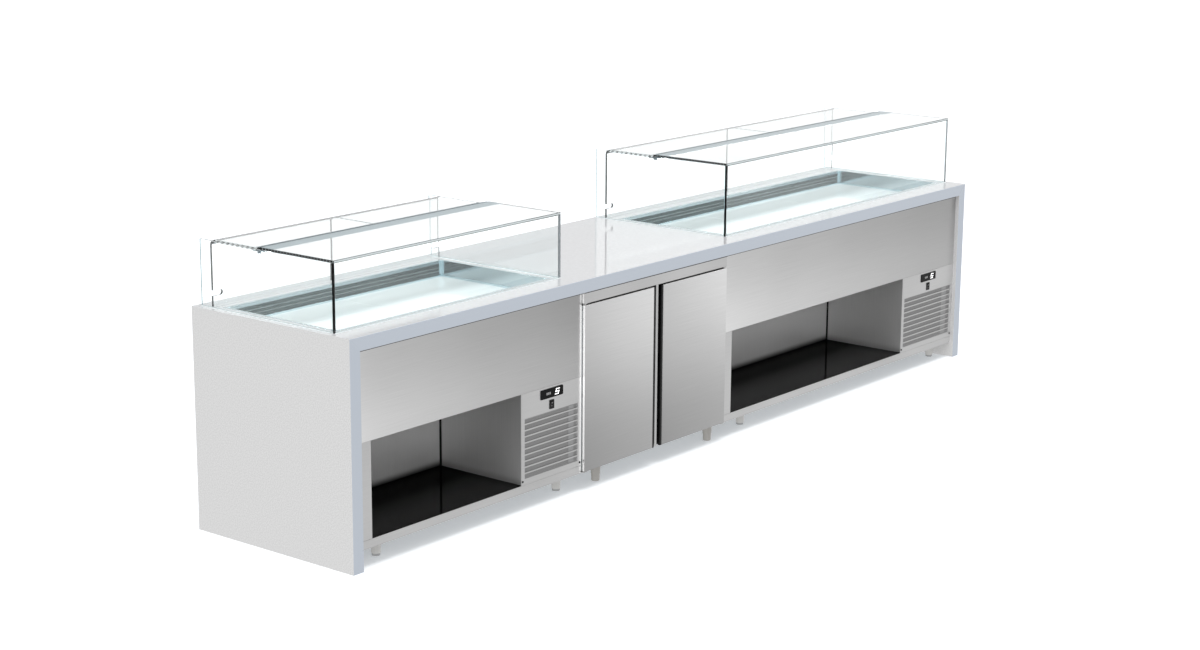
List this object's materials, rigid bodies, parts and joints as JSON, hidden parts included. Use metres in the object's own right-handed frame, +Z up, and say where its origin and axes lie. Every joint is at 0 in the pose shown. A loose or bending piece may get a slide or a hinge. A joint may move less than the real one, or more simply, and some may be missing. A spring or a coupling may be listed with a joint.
{
  "type": "refrigerated display counter",
  "caption": "White staff-side serving counter with chilled display wells under lift-up glass cases, open storage niches, louvred machine bays and a steel cupboard with hinged doors.",
  "frame": {"origin": "on the floor, below the middle of the counter's plan", "axes": "+X along the counter, to the right as the operator faces it; +Y from the operator's side to the customer's side; +Z up"},
  "size_m": [4.43, 0.85, 1.23],
  "materials": {
    "white_worktop": "gloss",
    "white_board": "satin",
    "satin_steel": "satin",
    "well_steel": "satin",
    "deck_enamel": "gloss",
    "clear_glass": "polished",
    "bar_aluminium": "satin",
    "light_diffuser": "matte",
    "black_floor": "gloss",
    "black_plastic": "satin",
    "display_plastic": "gloss",
    "foot_plastic": "satin",
    "seal_rubber": "matte",
    "foam": "matte",
    "coil_aluminium": "satin",
    "black_enamel": "satin",
    "fan_plastic": "satin",
    "screw_steel": "polished"
  },
  "bodies": {
    "counter": {"worktop": "white_worktop", "end_panel_left": "white_board", "end_panel_right": "white_board", "customer_cladding": "white_board", "base_trays": "satin_steel", "left_carcass": "satin_steel", "right_carcass": "satin_steel", "left_fascia": "satin_steel", "right_fascia": "satin_steel", "left_service_cover": "satin_steel", "right_service_cover": "satin_steel", "left_niche_lining": "satin_steel", "right_niche_lining": "satin_steel", "cupboard_body": "satin_steel", "cupboard_face_frame": "satin_steel", "cupboard_shelf": "satin_steel", "door_hinges": "satin_steel", "cupboard_feet": "satin_steel", "left_tank": "well_steel", "right_tank": "well_steel", "display_decks": "deck_enamel", "left_front_glass": "clear_glass", "left_end_glass": "clear_glass", "left_top_glass": "clear_glass", "right_front_glass": "clear_glass", "right_end_glass": "clear_glass", "right_top_glass": "clear_glass", "left_light_bar": "bar_aluminium", "right_light_bar": "bar_aluminium", "led_strips": "light_diffuser", "niche_floors": "black_floor", "switch_bezels": "black_plastic", "thermostats": "display_plastic", "unit_feet": "foot_plastic", "insulation": "foam", "evaporators": "coil_aluminium", "condensers": "coil_aluminium", "compressors": "black_enamel", "fan_motors": "black_enamel", "cover_screws": "screw_steel"},
    "door_left": {"door_left": "satin_steel", "door_left_core": "foam", "door_left_gasket": "seal_rubber", "door_left_grip": "black_plastic"},
    "door_right": {"door_right": "satin_steel", "door_right_core": "foam", "door_right_gasket": "seal_rubber", "door_right_grip": "black_plastic"},
    "left_switch_rocker": {"left_switch_rocker": "black_plastic"},
    "right_switch_rocker": {"right_switch_rocker": "black_plastic"},
    "left_condenser_fan": {"left_condenser_fan": "fan_plastic"},
    "right_condenser_fan": {"right_condenser_fan": "fan_plastic"},
    "left_case_left_flap": {"left_case_left_flap": "clear_glass", "left_case_left_flap_hinge": "bar_aluminium"},
    "left_case_right_flap": {"left_case_right_flap": "clear_glass", "left_case_right_flap_hinge": "bar_aluminium"},
    "right_case_left_flap": {"right_case_left_flap": "clear_glass", "right_case_left_flap_hinge": "bar_aluminium"},
    "right_case_right_flap": {"right_case_right_flap": "clear_glass", "right_case_right_flap_hinge": "bar_aluminium"}
  },
  "joints": [
    {"name": "door_left_hinge", "type": "hinge", "parent": "counter", "child": "door_left", "pos_m": [-0.847, -0.412, 0.4365], "axis": [0, 0, -1], "range_deg": [0, 100]},
    {"name": "door_right_hinge", "type": "hinge", "parent": "counter", "child": "door_right", "pos_m": [0.127, -0.412, 0.4365], "axis": [0, 0, 1], "range_deg": [0, 100]},
    {"name": "left_case_left_flap_hinge", "type": "hinge", "parent": "counter", "child": "left_case_left_flap", "pos_m": [-1.86, 0.0753, 1.1533], "axis": [1, 0, 0], "range_deg": [0, 65]},
    {"name": "left_case_right_flap_hinge", "type": "hinge", "parent": "counter", "child": "left_case_right_flap", "pos_m": [-1.228, 0.0753, 1.1533], "axis": [1, 0, 0], "range_deg": [0, 65]},
    {"name": "right_case_left_flap_hinge", "type": "hinge", "parent": "counter", "child": "right_case_left_flap", "pos_m": [0.74425, 0.0833, 1.2113], "axis": [1, 0, 0], "range_deg": [0, 65]},
    {"name": "right_case_right_flap_hinge", "type": "hinge", "parent": "counter", "child": "right_case_right_flap", "pos_m": [1.69875, 0.0833, 1.2113], "axis": [1, 0, 0], "range_deg": [0, 65]},
    {"name": "left_fan_spin", "type": "hinge", "parent": "counter", "child": "left_condenser_fan", "pos_m": [-1.051, -0.324, 0.26], "axis": [0, 1, 0], "continuous": true},
    {"name": "left_rocker_tilt", "type": "hinge", "parent": "counter", "child": "left_switch_rocker", "pos_m": [-1.051, -0.404, 0.4128], "axis": [-1, 0, 0], "range_deg": [0, 16]},
    {"name": "right_fan_spin", "type": "hinge", "parent": "counter", "child": "right_condenser_fan", "pos_m": [1.914, -0.324, 0.26], "axis": [0, 1, 0], "continuous": true},
    {"name": "right_rocker_tilt", "type": "hinge", "parent": "counter", "child": "right_switch_rocker", "pos_m": [1.914, -0.404, 0.4128], "axis": [-1, 0, 0], "range_deg": [0, 16]}
  ]
}
